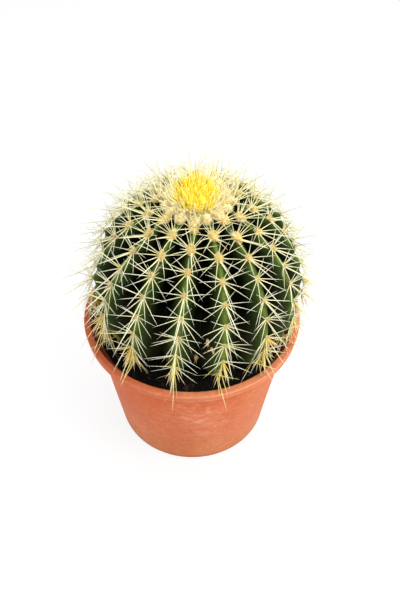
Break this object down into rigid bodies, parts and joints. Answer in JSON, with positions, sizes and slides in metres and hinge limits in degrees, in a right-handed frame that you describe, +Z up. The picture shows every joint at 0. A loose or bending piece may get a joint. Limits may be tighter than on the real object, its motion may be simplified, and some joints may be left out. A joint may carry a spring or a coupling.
{
  "type": "potted round cactus",
  "caption": "Round ribbed barrel cactus with straw-coloured spines and a woolly yellow crown, growing in a tapered terracotta-coloured pot.",
  "frame": {"origin": "centre of the pot's flat underside", "axes": "+Z up, the front as pictured faces -Y"},
  "size_m": [0.1941, 0.1872, 0.2456],
  "materials": {
    "pot": "matte",
    "soil": "matte",
    "cactus": "satin",
    "crown": "matte"
  },
  "bodies": {
    "root": {"pot": "pot", "soil": "soil", "cactus": "cactus", "crown": "crown"}
  },
  "joints": []
}
